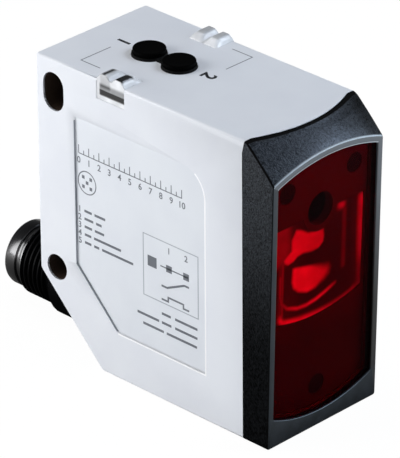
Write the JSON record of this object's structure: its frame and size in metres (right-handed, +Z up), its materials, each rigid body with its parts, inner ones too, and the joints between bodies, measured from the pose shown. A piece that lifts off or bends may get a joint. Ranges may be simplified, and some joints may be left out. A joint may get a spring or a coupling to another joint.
{
  "type": "photoelectric sensor",
  "caption": "Compact photoelectric sensor in a slim box housing, with a red optical window, push buttons and light guides on top, and a swivelling round plug at the cut corner.",
  "frame": {"origin": "on the base, in the middle of its width, half-way between the back face and the front edge of the base", "axes": "+Z up; the optical window looks along -Y; the plug leaves along +Y at rest; the label recess is on the -X side"},
  "size_m": [0.0236, 0.0646, 0.051],
  "materials": {
    "white_plastic": "fine satin moulding",
    "black_plastic": "fine-grained moulding",
    "red_window": "polished transparent red",
    "label_foil": "printed satin foil",
    "black_rubber": "matt rubber",
    "button_rubber": "matt rubber",
    "clear_guide": "milky clear moulding",
    "clear_lens": "polished clear",
    "optics_black": "matt",
    "steel": "bright",
    "dark_steel": "burnished dark",
    "brass": "turned",
    "circuit_board": "green solder mask",
    "chip_black": "moulded",
    "flex_amber": "amber film",
    "socket_white": "moulded",
    "switch_grey": "moulded",
    "plunger_red": "moulded",
    "led_resin": "clear resin",
    "lead_brown": "insulation",
    "lead_white": "insulation",
    "lead_blue": "insulation",
    "lead_black": "insulation",
    "lead_grey": "insulation",
    "plug_black": "satin moulding",
    "gold_contact": "gold-plated"
  },
  "bodies": {
    "sensor": {"bezel_seal": "black_rubber", "board_chip_1": "chip_black", "board_chip_2": "chip_black", "board_chip_3": "chip_black", "board_chip_4": "chip_black", "button_board": "circuit_board", "button_mat": "black_rubber", "emitter_lens": "clear_lens", "flex_link": "flex_amber", "front_bezel": "black_plastic", "front_window": "red_window", "housing": "white_plastic", "indicator_guide_left": "clear_guide", "indicator_guide_right": "clear_guide", "indicator_led_1": "led_resin", "indicator_led_2": "led_resin", "indicator_led_3": "led_resin", "indicator_led_4": "led_resin", "label_plate": "label_foil", "laser_barrel": "brass", "laser_diode": "brass", "lead_black": "lead_black", "lead_blue": "lead_blue", "lead_brown": "lead_brown", "lead_grey": "lead_grey", "lead_socket": "socket_white", "lead_white": "lead_white", "main_board": "circuit_board", "mask_screw_1": "steel", "mask_screw_2": "steel", "mask_screw_3": "steel", "optics_block": "optics_black", "optics_mask": "optics_black", "receiver_board": "circuit_board", "receiver_chip": "chip_black", "receiver_lens": "clear_lens", "screw_sleeve_round": "dark_steel", "screw_sleeve_slot": "dark_steel", "switch_body_1": "switch_grey", "switch_body_2": "switch_grey", "window_seal": "black_rubber"},
    "button_1": {"button_cap_1": "button_rubber", "switch_plunger_1": "plunger_red"},
    "button_2": {"button_cap_2": "button_rubber", "switch_plunger_2": "plunger_red"},
    "plug": {"swivel_elbow": "plug_black", "swivel_seal": "black_rubber", "retaining_ring": "steel", "thread_sleeve": "plug_black", "contact_insert": "plug_black", "contact_pin_1": "gold_contact", "contact_pin_2": "gold_contact", "contact_pin_3": "gold_contact", "contact_pin_4": "gold_contact", "contact_pin_5": "gold_contact"}
  },
  "joints": [
    {"name": "button_1_press", "type": "slide", "parent": "sensor", "child": "button_1", "axis": [0, 0, -1], "range_m": [0, 0.0004], "stiffness_N_per_m": 2000},
    {"name": "button_2_press", "type": "slide", "parent": "sensor", "child": "button_2", "axis": [0, 0, -1], "range_m": [0, 0.0004], "stiffness_N_per_m": 2000},
    {"name": "plug_swivel", "type": "hinge", "parent": "sensor", "child": "plug", "pos_m": [0, 0.0176, 0.00665], "axis": [0, 0.7071, -0.7071], "range_deg": [-90, 180]}
  ]
}
